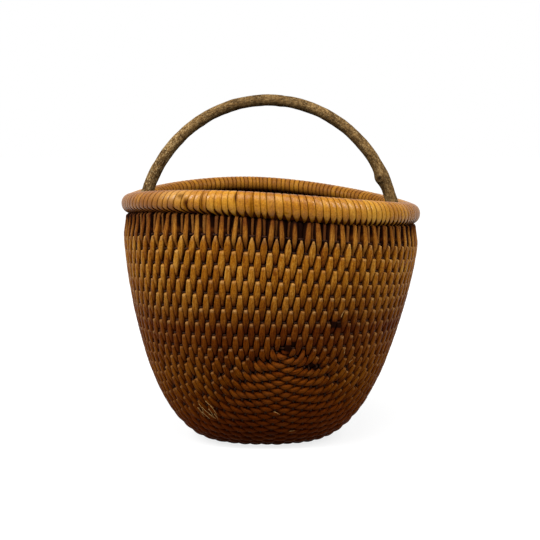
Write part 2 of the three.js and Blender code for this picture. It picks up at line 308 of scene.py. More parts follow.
class Strands:
    """Gathers rings of points into one mesh, with marks at every point for the materials."""

    def __init__(self):
        self.points = []
        self.faces = []
        self.caps = []
        self.marks = []
        self.strand = []
        self.count = 0

    def sweep(self, rings, along, marks, closed=False, seed=0.0):
        """Adds a tube. along is each ring's length on it, marks has four values for each point."""
        total, sides, _ = rings.shape
        index = self.count + np.arange(total * sides).reshape(total, sides)
        here = index if closed else index[:-1]
        there = np.roll(index, -1, 0) if closed else index[1:]
        faces = np.stack([here, there, np.roll(there, -1, 1), np.roll(here, -1, 1)], -1).reshape(-1, 4)
        flat = rings.reshape(-1, 3)
        corner = [flat[faces[:, i] - self.count] for i in range(4)]
        volume = np.sum(corner[0] * np.cross(corner[1], corner[2]))
        volume += np.sum(corner[0] * np.cross(corner[2], corner[3]))
        if volume < 0:
            faces = faces[:, ::-1]
        if not closed:
            first, last = index[0], index[-1][::-1]
            self.caps += [first, last] if volume > 0 else [first[::-1], last[::-1]]
        middle = rings.mean(1, keepdims=True)
        across = unit(rings[:, 0] - middle[:, 0])[:, None]
        upward = unit(rings[:, sides // 4] - middle[:, 0])[:, None]
        offset = rings - middle
        strand = together(
            np.sum(offset * across, -1) + PATTERN_STEPS[0] * seed,
            np.sum(offset * upward, -1) + PATTERN_STEPS[1] * seed,
            along[:, None],
        )
        self.points.append(flat)
        self.faces.append(faces)
        self.marks.append(np.broadcast_to(marks, (total, sides, 4)).reshape(-1, 4))
        self.strand.append(strand.reshape(-1, 3))
        self.count += total * sides

    def piece(self, name, slot, material, *nodes):
        """Makes the mesh, hangs it on the body and hides the nodes it replaces."""
        points = np.concatenate(self.points)
        points[:, 2] = np.maximum(points[:, 2], 0)
        faces = np.concatenate(self.faces)
        loops = np.concatenate([faces.ravel()] + self.caps)
        sizes = np.concatenate([np.full(len(faces), 4), [len(cap) for cap in self.caps]]).astype(int)
        starts = np.concatenate([[0], np.cumsum(sizes)[:-1]]).astype(int)
        mesh = bpy.data.meshes.new(name)
        for part, key, values in (
            (mesh.vertices, "co", points * MM),
            (mesh.loops, "vertex_index", loops.astype(np.int32)),
            (mesh.polygons, "loop_start", starts.astype(np.int32)),
        ):
            part.add(len(values))
            part.foreach_set(key, values.ravel())
        mesh.update(calc_edges=True)
        mesh.validate()
        mesh.shade_smooth()
        marks = mesh.attributes.new("marks", "FLOAT_COLOR", "POINT")
        marks.data.foreach_set("color", np.concatenate(self.marks).ravel())
        strand = mesh.attributes.new("strand", "FLOAT_VECTOR", "POINT")
        strand.data.foreach_set("vector", (np.concatenate(self.strand) * MM).ravel())
        mesh.materials.append(material)
        piece = put(name, mesh)
        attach(piece, "root")
        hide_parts(*nodes)


def ovals(centre, side, up, half_width, half_depth, sides):
    """Oval rings round centre points."""
    turn = around(sides)
    across = side[:, None] * (half_width[:, None] * cosine(turn))[..., None]
    outward = up[:, None] * (half_depth[:, None] * sine(turn))[..., None]
    return centre[:, None] + across + outward


def keeled_rings(centre, side, up, half_width, half_depth, keel_width, keel_depth):
    """Rings with a flattened oval outside and a squarer half inside, for rods that close a wall."""
    turn = around(ROD_SIDES)
    inner = sine(turn) < INNER_LIMIT
    power = np.where(inner, KEEL_POWER, FACE_POWER)
    square_x = signed_power(cosine(turn), power)
    square_y = signed_power(sine(turn), power)
    across = np.where(inner, keel_width[:, None], half_width[:, None]) * square_x
    outward = np.where(inner, keel_depth[:, None], half_depth[:, None]) * square_y
    return centre[:, None] + side[:, None] * across[..., None] + up[:, None] * outward[..., None]


def directions(points, out_points):
    """Along, across and outward directions at each point of a line."""
    along = unit(np.gradient(points, axis=0))
    outward = unit(out_points - points)
    across = unit(np.cross(along, outward))
    return along, across, np.cross(across, along)


# Materials

WHITE = (1, 1, 1, 1)


def rgb(code):
    """A colour written as it looks, such as b5792a, in the linear values that shaders take."""
    values = [int(code[i:i + 2], 16) / 255 for i in (0, 2, 4)]
    linear = [v / 12.92 if v <= 0.04045 else ((v + 0.055) / 1.055) ** 2.4 for v in values]
    return (*linear, 1.0)


class Nodes:
    """A short way to write a node tree. Inputs are sockets, plain values or colour codes."""

    def __init__(self, tree):
        self.tree = tree

    def node(self, kind, inputs=None, **settings):
        made = self.tree.nodes.new(kind)
        for key, value in settings.items():
            setattr(made, key, value)
        for key, value in (inputs or {}).items():
            self.feed(made.inputs[key], value)
        return made

    def feed(self, socket, value):
        if isinstance(value, bpy.types.NodeSocket):
            self.tree.links.new(value, socket)
        else:
            socket.default_value = rgb(value) if isinstance(value, str) else value

    def math(self, operation, a, b=0.0, c=0.0):
        made = self.node("ShaderNodeMath", operation=operation)
        for socket, value in zip(made.inputs, (a, b, c)):
            self.feed(socket, value)
        return made.outputs[0]

    def span(self, value, low, high, to_low=0.0, to_high=1.0, kind="SMOOTHSTEP"):
        inputs = {"Value": value, "From Min": low, "From Max": high, "To Min": to_low, "To Max": to_high}
        return self.node("ShaderNodeMapRange", inputs, interpolation_type=kind).outputs["Result"]


class Shader(Nodes):
    """The node tree of a new material."""

    def __init__(self, name):
        self.material = bpy.data.materials.new(name)
        self.material.use_nodes = True
        super().__init__(self.material.node_tree)
        self.surface = self.tree.nodes["Principled BSDF"]

    def marks(self):
        """The tone, dirt and painted shade, wear and painted sheen, and redness of the point."""
        marks = self.node("ShaderNodeAttribute", attribute_name="marks").outputs
        split = self.node("ShaderNodeSeparateColor", {"Color": marks["Color"]}).outputs
        return split[0], split[1], split[2], marks["Alpha"]

    def strand(self):
        """The point in its strand's own frame, with Z along the strand."""
        return self.node("ShaderNodeAttribute", attribute_name="strand").outputs["Vector"]

    def place(self):
        return self.node("ShaderNodeNewGeometry").outputs["Position"]

    def noise(self, vector, scale, detail=3.0, roughness=0.5):
        inputs = {"Vector": vector, "Scale": scale, "Detail": detail, "Roughness": roughness}
        return self.node("ShaderNodeTexNoise", inputs).outputs["Fac"]

    def streaks(self, strand, share, scale, detail=3.0, roughness=0.5):
        """Noise drawn out along the strand, where its scale is only a share of that across."""
        drawn = self.node("ShaderNodeMapping", {"Vector": strand, "Scale": (1, 1, share)})
        return self.noise(drawn.outputs["Vector"], scale, detail, roughness)

    def ramp(self, value, *stops):
        made = self.node("ShaderNodeValToRGB", {"Fac": value})
        elements = made.color_ramp.elements
        while len(elements) < len(stops):
            elements.new(0.5)
        for element, (position, code) in zip(elements, stops):
            element.position = position
            element.color = rgb(code)
        return made.outputs["Color"]

    def mix(self, share, a, b, blend="MIX"):
        made = self.node("ShaderNodeMix", data_type="RGBA", blend_type=blend)
        self.feed(made.inputs["Factor"], share)
        self.feed(made.inputs[6], a)
        self.feed(made.inputs[7], b)
        return made.outputs[2]

    def blend(self, *parts):
        """The sum of values, each times its share."""
        total = 0.0
        for value, share in parts:
            total = self.math("MULTIPLY_ADD", value, share, total)
        return total

    def bump(self, height, strength, distance):
        inputs = {"Height": height, "Strength": strength, "Distance": distance}
        return self.node("ShaderNodeBump", inputs).outputs["Normal"]

    def finish(self, **inputs):
        for key, value in inputs.items():
            self.feed(self.surface.inputs[key.replace("_", " ")], value)
        return self.material


def willow_material():
    """Varnished willow: golden above and darker below, with dirt and painted shade in the hollows, worn pale
    with painted highlights at the tops.
    """
    shader = Shader("willow")
    tone, dirt_and_shade, wear_and_sheen, red = shader.marks()
    strand = shader.strand()
    place = shader.place()
    height = shader.node("ShaderNodeSeparateXYZ", {"Vector": place}).outputs["Z"]
    streaks = shader.streaks(strand, 0.1, 800, 4, 0.6)
    blotches = shader.noise(place, 55)
    mottle = shader.streaks(strand, 0.5, 620, 4, 0.7)
    value = shader.blend((streaks, 0.35), (blotches, 0.12), (mottle, 0.33), (tone, 0.2))
    golden = shader.ramp(value, (0.4, "6e390b"), (0.5, "9e6512"), (0.6, "c08e3a"))
    reddish = shader.ramp(value, (0.4, "401502"), (0.5, "763809"), (0.6, "a25c16"))
    colour = shader.mix(red, golden, reddish)
    # Darker towards the bottom, by height
    lower_darkening = shader.ramp(shader.span(height, 0.02, 0.24), (0.0, "896034"), (0.12, "957342"), (0.3, "a3865c"),
                       (0.65, "967456"), (1.0, "faf6f0"))
    colour = shader.mix(1.0, colour, lower_darkening, "MULTIPLY")
    # The wear-and-sheen mark lightens: real wear, and painted highlights on the grain tops and the rose
    pale = shader.mix(0.6, colour, "b08c58")
    colour = shader.mix(wear_and_sheen, colour, pale)
    specks = shader.span(shader.noise(place, 640, 2, 0.6), 0.56, 0.68, 0, 0.5)
    colour = shader.mix(specks, colour, "3a1204")
    # The dirt-and-shade mark darkens: real spots and dirt, with painted shade in the hollows, on the flanks
    # and inside, and a painted shadow under the rim; the most of it goes near black
    dirt_and_shade_share = shader.math("MULTIPLY", dirt_and_shade, shader.span(blotches, 0.2, 0.75, 0.85, 1.0))
    colour = shader.mix(dirt_and_shade_share, colour, "421806")
    colour = shader.mix(shader.span(dirt_and_shade, 0.82, 1.0), colour, "180702")
    fine = shader.streaks(strand, 0.08, 2600, 2)
    return shader.finish(
        Base_Color=colour,
        Roughness=shader.span(dirt_and_shade, 0.2, 0.9, 0.36, 0.8),
        Specular_IOR_Level=shader.span(height, 0.03, 0.24, 0.004, 0.03),
        Normal=shader.bump(fine, 0.25, 0.0002),
    )


def weft_material():
    """Thin dark wefts, matt and dusty."""
    shader = Shader("weft")
    streaks = shader.streaks(shader.strand(), 0.15, 700, 4)
    colour = shader.ramp(streaks, (0.3, "150804"), (0.7, "3a1f0e"))
    normal = shader.bump(streaks, 0.3, 0.0003)
    return shader.finish(Base_Color=colour, Roughness=0.7, Specular_IOR_Level=0.08, Normal=normal)


def rim_material(name, dark, middle, light, roughness):
    """Flat glossy strips, each with its own tone, dirty at their edges and spotted, with painted shade and
    painted highlights.
    """
    shader = Shader(name)
    tone, dirt_and_shade, wear_and_sheen, _ = shader.marks()
    place = shader.place()
    fibres = shader.streaks(shader.strand(), 0.06, 900, 3, 0.6)
    speckle = shader.noise(place, 560, 3, 0.7)
    blotches = shader.noise(place, 90, 5, 0.65)
    value = shader.blend((fibres, 0.25), (speckle, 0.3), (blotches, 0.25), (tone, 0.2))
    colour = shader.ramp(value, (0.38, dark), (0.5, middle), (0.62, light))
    # The wear-and-sheen mark of the strips is a painted highlight
    colour = shader.mix(wear_and_sheen, colour, "b48542")
    spots = shader.span(shader.noise(place, 480, 4, 0.7), 0.56, 0.68, 0, 0.5)
    colour = shader.mix(shader.math("MAXIMUM", spots, dirt_and_shade), colour, "381504")
    return shader.finish(
        Base_Color=colour,
        Roughness=roughness,
        Specular_IOR_Level=0.02,
        Normal=shader.bump(shader.math("ADD", fibres, blotches), 0.25, 0.0003),
        Coat_Weight=shader.span(dirt_and_shade, 0.05, 0.4, 0.5, 0.0),
        Coat_IOR=1.4,
        Coat_Roughness=shader.span(blotches, 0.35, 0.65, 0.2, 0.34),
    )


def bark_material():
    """Grey-brown bark with fine pale flecks and dark pits along the branch. Its wear mark is pale bark with
    a painted light on the branch's outer side.
    """
    shader = Shader("bark")
    _, dirt_and_shade, light, _ = shader.marks()
    strand = shader.strand()
    mottle = shader.streaks(strand, 0.55, 420, 5, 0.65)
    value = shader.blend((mottle, 0.7), (shader.noise(strand, 60), 0.3))
    colour = shader.ramp(value, (0.32, "2a1c0b"), (0.46, "574021"), (0.58, "7e6139"), (0.7, "ab9265"))
    flecks = shader.span(shader.streaks(strand, 0.7, 620, 3, 0.6), 0.52, 0.64)
    amount = shader.math("MULTIPLY", flecks, shader.span(light, 0.0, 1.0, 0.25, 0.7))
    colour = shader.mix(amount, colour, "c0a778")
    pits = shader.span(shader.streaks(strand, 0.8, 480, 3, 0.6), 0.53, 0.66, 0, 0.7)
    colour = shader.mix(pits, colour, "2e1e0c")
    colour = shader.mix(dirt_and_shade, colour, "241608")
    normal = shader.bump(mottle, 0.6, 0.0008)
    return shader.finish(Base_Color=colour, Roughness=0.75, Specular_IOR_Level=0.06, Normal=normal)


WILLOW = willow_material()
WEFT = weft_material()
LASHING = rim_material("lashing", "78430a", "9f660a", "b68224", 0.5)
HOOP = rim_material("hoop", "3c1d05", "5c340c", "7c4f1b", 0.6)
BARK = bark_material()

# Stakes

# Dark spots on the front wall: across, height, size and strength
DARK_SPOTS = (
    (20, 132, 5, 2.4),
    (27, 138, 4, 0.9),
    (50, 109, 5, 1.8),
    (36, 118, 5, 0.5),
    (74, 159, 5, 2.8),
    (-25, 60, 12, 0.25),
)

# Broken fibres on the front wall: across, height, length and sideways bend
FIBRES = (
    (-82, 62, 13, 0.3),
    (-78, 58, 15, -0.25),
    (-73, 54, 12, 0.35),
    (-70, 50, 9, -0.4),
    (-85, 56, 14, 0.2),
    (-76, 65, 12, -0.3),
    (-70, 58, 12, 0.25),
    (-66, 48, 8, 0.3),
    (-80, 50, 12, -0.2),
    (79, 168, 9, 0.3),
    (82, 124, 6, -0.4),
    (3, 54, 7, 0.4),
    (21, 29, 6, -0.3),
    (88, 112, 5, 0.4),
)
FIBRE_STEPS = 7
FIBRE_SIDES = 6
FIBRE_LEVEL = 4.7
FIBRE_LIFT = 1.6
FIBRE_HALF = 0.65
FIBRE_TAPER = 0.6
FIBRE_FLATNESS = 0.6
FIBRE_MARKS = (1.0, 0.0, 1.0, 0.0)

# A grain is a rod's stretch between two dips. Where the rod climbs, the grain is blunt at its top and tapers
# to a tail; where the rod lies level, it is a lens. Widths and leans are shares of the rods' pitch
GRAIN_STATIONS = np.array([
    0, 0.03, 0.07, 0.12, 0.18, 0.26, 0.35, 0.45, 0.55, 0.65, 0.74, 0.82, 0.88, 0.93, 0.97,
])
BLUNT_PLACES = (0, 0.05, 0.28, 0.48, 1)
BLUNT_WIDTHS = (0.66, 0.76, 1.04, 1.17, 0.5)
BLUNT_RISE = (0.0, 0.07)
BLUNT_SAG = 0.35
SAG_PLACES = (0.45, 0.85)
TAIL_PLACES = (0.84, 1)
LENS_TIP = 0.3
LENS_SWELL = 0.82
LENS_POWER = 0.9
LENS_DEPTHS = (7, 16, 24, 31)
LENS_SLOPES = (0.89, 0.77, 0.71, 0.66)
LENS_CHANGE = (-0.06, 0.1)
FIRST_WIDTH = 0.45
FIRST_REACH = 0.3
LEVELLING = 0.2
GRAIN_KEEL = 1.27
DIP_KEEL = 0.12
DIP_THICKNESS = 0.82
GRAIN_WIDTHS = (0.96, 1.04)
GRAIN_RISES = (0.92, 1.06)
GRAIN_LEANS = (0.7, 1.3)

# Tone with a painted highlight on the rose, dirt and painted shade, wear and painted sheen, and redness of
# the grains
ROD_TONES = (0.35, 0.65)
GRAIN_TONE = 0.19
LENS_HIGHLIGHT = 0.42
TOP_WEARS_AND_SHEENS = (0.3, 1.0)
TOP_WEAR_AND_SHEEN_BELL = (0.085, 0.045)
LENS_SHEEN = 0.12
FIRST_WEAR = 0.7
FIRST_WEAR_START = 0.05
DIP_SHADE = 0.95
DIP_SHADE_POWER = 1.8
TAIL_SHADE = 0.22
TAIL_SHADE_PLACES = (0.5, 0.95)
GRAIN_RED = 0.12
TAIL_RED = 0.6
TAIL_RED_START = 0.4
LENS_RED = 0.55

# Lean of the grains' tops to the right, and the angles and heights where it changes
TILT = 0.24
LEFT_TILT = 0.7
LEFT_TILT_START = (-98, -132)
LEFT_TILT_END = (-182, -158)
LEFT_TILT_HEIGHTS = (130, 220)
RIGHT_TILT = -0.3
RIGHT_TILT_START = (-72, -45)

# Bare ends under the rim, full or thin, with the lengths from their dip where they change. They take painted
# shade in their dip, and dirt with painted shade towards the rim, the set-back thin ones most
END_STATIONS = 18
BARE_SPAN = 45
BARE_LEANS = (-0.28, 0.6)
BARE_TONE = 0.2
BARE_KEEL = 1.7
BARE_PUSH = 6.5
BARE_TUCK = (-5, 3)
FULL_DEPTH = 2.1
FULL_WIDTH = 0.48
FULL_SWELLS = (0.3, 0.46)
FULL_STAINS = (0.05, 0.25)
FULL_TAPER = 0.16
FULL_RISE = (1, 14)
FULL_FALL = (16, 44)
FULL_SWELL_SPAN = (0, 17)
FULL_TAPER_SPAN = (18, 40)
FULL_DIP_SHADE = 0.6
FULL_END_DIRT_AND_SHADE = 0.6
FULL_END_DIRT_AND_SHADE_SPAN = (16, 42)
FULL_WEAR_AND_RED = (0.1, 0.25)
THIN_DEPTH = 1.4
THIN_WIDTHS = (0.46, 0.72)
THIN_DIRT_AND_SHADE = (0.5, 0.72)
THIN_LIFT = 0.9
THIN_LIFT_REACH = 25
THIN_LEAN = 1.3
THIN_TONE = 0.8
THIN_END_DIRT_AND_SHADE = 0.2
THIN_END_DIRT_AND_SHADE_START = 20
THIN_WEAR_AND_RED = (0.4, 0.2)

# Painted shade round a rod and over the wall, a painted sheen on the lower sides and less wear and sheen low
# down, with the widths and heights where they change
INNER_DIRT_AND_SHADE = 0.6
FLANK_SHADE = 0.74
SIDE_SHADE = 0.75
DEEP_LIMIT = -0.5
BARE_FLANKS = 0.78
LOW_WEAR_AND_SHEEN = 0.5
LOW_WEAR_AND_SHEEN_HEIGHTS = (90, 200)
EDGE_SHADE = 0.18
EDGE_WIDTHS = (130, 165)
UNDER_RIM_SHADOW = 0.32
UNDER_RIM_HEIGHTS = (228, 256)
UNDER_RIM_BELL = (22, 62)
LOW_SIDE_SHEEN = 0.36
LOW_SIDE_WIDTHS = (50, 110)
LOW_SIDE_HEIGHTS = (115, 185)


def grain_shape(u, lean_down):
    """Width, rise and share of the way from the blunt end, which is at u = 0 for a positive lean_down."""
    top = u if lean_down > 0 else 1 - u
    blunt_width = np.interp(top, BLUNT_PLACES, BLUNT_WIDTHS)
    sag = 1 - BLUNT_SAG * smoothstep(top, *SAG_PLACES)
    blunt_rise = smoothstep(top, *BLUNT_RISE) * sag * (1 - smoothstep(top, *TAIL_PLACES))
    lens_rise = np.sin(np.pi * u) ** LENS_POWER
    lens_width = LENS_TIP + LENS_SWELL * lens_rise
    share = abs(lean_down)
    width = share * blunt_width + (1 - share) * lens_width
    rise = share * blunt_rise + (1 - share) * lens_rise
    return width, rise, top


def end_columns(rng, tone, edge, dip, outside):
    """A rod's bare end under the rim: full and outside the top weft, or thin and set back."""
    length = np.linspace(min(edge, dip), max(edge, dip), END_STATIONS)
    length = length[:-1] if edge < dip else length
    away = np.abs(length - dip)
    side = 1 if edge > dip else -1
    lean = side * rng.uniform(*BARE_LEANS) * smoothstep(away, 0, BARE_SPAN)
    tone = np.clip(tone + rng.uniform(-BARE_TONE, BARE_TONE), 0, 1)
    if outside:
        rise = smoothstep(away, *FULL_RISE)
        centre = (UNDER + (OVER - UNDER) * rise) * (1 - smoothstep(away, *FULL_FALL))
        swell = rng.uniform(*FULL_SWELLS) * smoothstep(away, *FULL_SWELL_SPAN)
        width = FULL_WIDTH + swell - FULL_TAPER * smoothstep(away, *FULL_TAPER_SPAN)
        dip_shade = FULL_DIP_SHADE * (1 - rise)
        end_dirt_and_shade = FULL_END_DIRT_AND_SHADE * smoothstep(away, *FULL_END_DIRT_AND_SHADE_SPAN)
        marks = (tone, dip_shade + rng.uniform(*FULL_STAINS) + end_dirt_and_shade, *FULL_WEAR_AND_RED)
        return length, width, centre, FULL_DEPTH, lean, BARE_KEEL, *marks
    centre = UNDER + THIN_LIFT * smoothstep(away, 0, THIN_LIFT_REACH)
    width = rng.uniform(*THIN_WIDTHS)
    end_dirt_and_shade = THIN_END_DIRT_AND_SHADE * smoothstep(away, THIN_END_DIRT_AND_SHADE_START, BARE_SPAN)
    marks = (THIN_TONE * tone, rng.uniform(*THIN_DIRT_AND_SHADE) + end_dirt_and_shade, *THIN_WEAR_AND_RED)
    return length, width, centre, THIN_DEPTH, THIN_LEAN * lean, BARE_KEEL, *marks


def grain_columns(rng, tone, start, end, lean_down, first, tilt, slope):
    """A rod's stretch between two dips, outside a weft. The first one beside a thin end is narrow there."""
    length = start + GRAIN_STATIONS * (end - start)
    width, rise, top = grain_shape(GRAIN_STATIONS, lean_down)
    slant = abs(lean_down)
    level = 1 - slant
    if first:
        width = width * (FIRST_WIDTH + (1 - FIRST_WIDTH) * smoothstep(top, 0, FIRST_REACH))
    # The level lens grains of the rose get a lighter tone, a painted highlight
    tone = np.clip(tone + rng.uniform(-GRAIN_TONE, GRAIN_TONE) + LENS_HIGHLIGHT * level, 0, 1)
    centre = UNDER + (OVER - UNDER) * rise * rng.uniform(*GRAIN_RISES)
    off_middle = GRAIN_STATIONS - 0.5
    shift = tilt * off_middle * slant * rng.uniform(*GRAIN_LEANS)
    shift = shift - LEVELLING * off_middle * level * np.clip(2 * slope, -1, 1)
    # Painted shade in the dips and down the tails; wear with a painted highlight on the blunt tops, and a
    # painted sheen on the lenses
    tail_shade = TAIL_SHADE * smoothstep(top, *TAIL_SHADE_PLACES) * slant
    dirt_and_shade = DIP_SHADE * (1 - rise) ** DIP_SHADE_POWER + tail_shade
    top_wear_and_sheen = bell(top, *TOP_WEAR_AND_SHEEN_BELL) * slant * rng.uniform(*TOP_WEARS_AND_SHEENS)
    lens_sheen = LENS_SHEEN * rng.uniform(0, 1) * level * np.sin(np.pi * GRAIN_STATIONS) ** 2
    wear_and_sheen = top_wear_and_sheen + lens_sheen
    if first:
        wear_and_sheen = np.maximum(wear_and_sheen, FIRST_WEAR * (1 - smoothstep(top, FIRST_WEAR_START, FIRST_REACH)))
    # The tails redden along with their painted shade
    red = GRAIN_RED + TAIL_RED * smoothstep(top, TAIL_RED_START, 1) * slant + LENS_RED * level
    depth = ROD_THICKNESS * (DIP_THICKNESS + (1 - DIP_THICKNESS) * rise)
    keel = GRAIN_KEEL + DIP_KEEL * (1 - rise)
    width = width * rng.uniform(*GRAIN_WIDTHS)
    return length, width, centre, depth, shift, keel, tone, dirt_and_shade, wear_and_sheen, red


def grain_tilt(alpha, place):
    """How far a grain's top leans to the right: most on the upper left, a little left on the right."""
    angle = float(rod_place(alpha, place)[1])
    height = float(rod_point(alpha, place)[..., 2])
    left = smoothstep(angle, *LEFT_TILT_START) * smoothstep(height, *LEFT_TILT_HEIGHTS)
    left = left * smoothstep(angle, *LEFT_TILT_END)
    right = smoothstep(angle, *RIGHT_TILT_START)
    return TILT + (LEFT_TILT * left + RIGHT_TILT * right) * (angle < 0)


def rod_columns(rod):
    """The stations of a rod from end to end, as columns of length, section and marks."""
    rng = random_stream(rod.number)
    tone = rng.uniform(*ROD_TONES)
    lens_slope = float(np.interp(min(rod.alpha, 180 - rod.alpha), LENS_DEPTHS, LENS_SLOPES))
    left_full, right_full = rod.crossings[0][1], rod.crossings[-1][1]
    dips = [length for length, outside in rod.crossings if not outside]
    parts = [end_columns(rng, tone, 0.0, dips[0], left_full)]
    for start, end in zip(dips, dips[1:]):
        middle = float(rod.place_at((start + end) / 2))
        slope = float(cosine(np.clip(middle, 0, 180)))
        blunt = float(smoothstep(abs(slope) - lens_slope, *LENS_CHANGE))
        lean_down = math.copysign(blunt, slope)
        first = (start == dips[0] and not left_full) or (end == dips[-1] and not right_full)
        tilt = grain_tilt(rod.alpha, middle)
        parts.append(grain_columns(rng, tone, start, end, lean_down, first, tilt, slope))
    parts.append(end_columns(rng, tone, rod.end, dips[-1], right_full))
    return np.vstack([together(*columns) for columns in parts]).T


def wall_dirt_and_shade(points, dirt_and_shade):
    """Adds the wall's dark spots, a painted shadow under the rim in front, and painted shade at the side
    edges, where the wall turns away.
    """
    across, height = points[:, 0], points[:, 2]
    front = points[:, 1] < 0
    for x, z, size, strength in DARK_SPOTS:
        dirt_and_shade = dirt_and_shade + strength * bell(across, x, size) * bell(height, z, size) * front
    # Painted shade at the sides and a painted shadow of the rim in front
    edge = EDGE_SHADE * smoothstep(np.abs(across), *EDGE_WIDTHS)
    rim_shadow = UNDER_RIM_SHADOW * bell(across, *UNDER_RIM_BELL) * smoothstep(height, *UNDER_RIM_HEIGHTS) * front
    return np.clip(dirt_and_shade + edge + rim_shadow, 0, 1)


def rod_marks(points, marks, bare):
    """Marks round a rod: dirt and painted shade on the wall's inside, painted shade on the flanks, wear and
    painted sheen on its face only, and a painted sheen on the lower sides.
    """
    tone, dirt_and_shade, wear_and_sheen, red = marks
    side = smoothstep(np.abs(points[:, 0]), *LOW_SIDE_WIDTHS)
    # A painted sheen lightens the tone on the lower sides
    tone = tone + LOW_SIDE_SHEEN * side * (1 - smoothstep(points[:, 2], *LOW_SIDE_HEIGHTS))
    facing = sine(around(ROD_SIDES))
    face = np.maximum(0, facing)
    # Painted shade on the flanks and sides, with dirt and painted shade on the wall's inside
    hidden = np.where(facing < DEEP_LIMIT, INNER_DIRT_AND_SHADE, FLANK_SHADE)
    round_shade_and_dirt = np.where(facing < INNER_LIMIT, hidden, SIDE_SHADE * (1 - face) ** 2)
    round_shade_and_dirt = round_shade_and_dirt * np.where(bare, BARE_FLANKS, 1.0)[:, None]
    dirt_and_shade = np.clip(wall_dirt_and_shade(points, dirt_and_shade)[:, None] + round_shade_and_dirt, 0, 1)
    # The wear and painted sheen fade low down
    fade = LOW_WEAR_AND_SHEEN + (1 - LOW_WEAR_AND_SHEEN) * smoothstep(points[:, 2], *LOW_WEAR_AND_SHEEN_HEIGHTS)
    wear_and_sheen = wear_and_sheen[:, None] * (face * fade[:, None])
    return together(tone[:, None], dirt_and_shade, wear_and_sheen, red[:, None])


def bare_push(alpha, place):
    """How far the bare ends stand out from the wall line, before they turn in under the rim."""
    length, angle = rod_place(alpha, place)
    reach = np.clip((length - WEAVE_END) / (FOOT_END - WEAVE_END), 0, 1)
    under = FOOT_END + HOOP_HEIGHT - outer_hoop_height(angle)
    return BARE_PUSH * reach * (1 - smoothstep(length - under, *BARE_TUCK))


def add_rod(rod, strands):
    length, width, centre, depth, shift, keel, *marks = rod_columns(rod)
    place = rod.place_at(length)
    base = rod_point(rod.alpha, place)
    along, across, outward = directions(base, rod_point(rod.alpha, place, 1))
    gap = rod_point(rod.alpha + ROD_STEP / 2, place) - rod_point(rod.alpha - ROD_STEP / 2, place)
    gap -= along * np.sum(gap * along, -1, keepdims=True)
    pitch = np.linalg.norm(gap, axis=-1)
    push = bare_push(rod.alpha, place)
    middle = base + outward * (centre + push)[:, None] + across * (shift * pitch)[:, None]
    keel_width = np.maximum(width, keel) * pitch / 2
    keel_depth = np.maximum(centre - KEEL_LEVEL, depth)
    rings = keeled_rings(middle, across, outward, width * pitch / 2, depth, keel_width, keel_depth)
    strands.sweep(rings, length, rod_marks(base, marks, push > 0), seed=rod.number)


def nearest_rod(rods, x, z):
    """The number of the rod, and the place on it, nearest a width across and a height on the front."""
    best = None
    for rod in rods:
        points = rod_point(rod.alpha, rod.places)
        far = np.hypot(points[:, 0] - x, points[:, 2] - z)
        far[points[:, 1] > 0] = np.inf
        spot = int(np.argmin(far))
        if best is None or far[spot] < best[0]:
            best = (far[spot], rod.number, rod.places[spot])
    return best[1:]


def add_fibre(rod, place, length, bend, strands, rng):
    """A broken pale fibre that lies on the wall and lifts at its end."""
    share = np.linspace(0, 1, FIBRE_STEPS)
    places = rod.place_at(rod.length_at(place) + length * share)
    line = rod_point(rod.alpha, places)
    along, across, outward = directions(line, rod_point(rod.alpha, places, 1))
    rise = FIBRE_LEVEL + FIBRE_LIFT * share**2
    line = line + outward * rise[:, None] + across * (bend * length * share**2)[:, None]
    half = FIBRE_HALF * (1 - FIBRE_TAPER * share)
    rings = ovals(line, across, outward, half, FIBRE_FLATNESS * half, FIBRE_SIDES)
    strands.sweep(rings, length * share, np.array(FIBRE_MARKS), seed=rng.uniform(0, 9))


def make_stakes(rods):
    rng = random_stream(STREAMS["fibres"])
    fibres = [(nearest_rod(rods, x, z), length, bend) for x, z, length, bend in FIBRES]
    for band in range(ROD_COUNT // RODS_IN_BAND):
        strands = Strands()
        for rod in rods[band * RODS_IN_BAND:(band + 1) * RODS_IN_BAND]:
            add_rod(rod, strands)
            for (number, place), length, bend in fibres:
                if number == rod.number:
                    add_fibre(rod, place, length, bend, strands, rng)
        number = "%02d" % (band + 1)
        strands.piece("woven_stakes_" + number, "willow_rods", WILLOW, "willow_rods_" + number)


# Wefts

WEFT_SIDES = 7
WEFT_STEPS = 4
PLAIN = (0.5, 0.0, 0.0, 0.0)


def add_weft(strands, points, outward, position, outside_first, seed, closed=False):
    """A thin rod through crossing points. position counts the crossings along it."""
    phase = np.cos(np.pi * position) * (-1 if outside_first else 1)
    middle = (WEFT_OVER + WEFT_UNDER) / 2
    line = points + outward * (middle + (WEFT_OVER - WEFT_UNDER) / 2 * phase)[:, None]
    ahead = np.roll(line, -1, 0) - np.roll(line, 1, 0) if closed else np.gradient(line, axis=0)
    across = unit(np.cross(unit(ahead), outward))
    radius = np.full(len(line), WEFT_RADIUS)
    rings = ovals(line, across, outward, radius, radius, WEFT_SIDES)
    along = np.cumsum(np.linalg.norm(ahead, axis=1) / 2)
    strands.sweep(rings, along, np.array(PLAIN), closed=closed, seed=seed)


def make_weft_rows():
    """Rings round the wall. Column k lies k + 0.5 rods round from the front rose."""
    columns = 2 * ROD_COUNT
    for row in range(ROWS):
        position = np.arange(0, columns, 1 / WEFT_STEPS)
        angle = -90 + ROSE_TURN + (position + 0.5) * ROD_STEP
        points = wall_point(row_length(row), angle, 0)
        outward = unit(wall_point(row_length(row), angle, 1) - points)
        strands = Strands()
        add_weft(strands, points, outward, position, row % 2 == 0, row, closed=True)
        number = str(row + 1)
        strands.piece("woven_weft_" + number, "wefts", WEFT, "weft_ring_" + number)


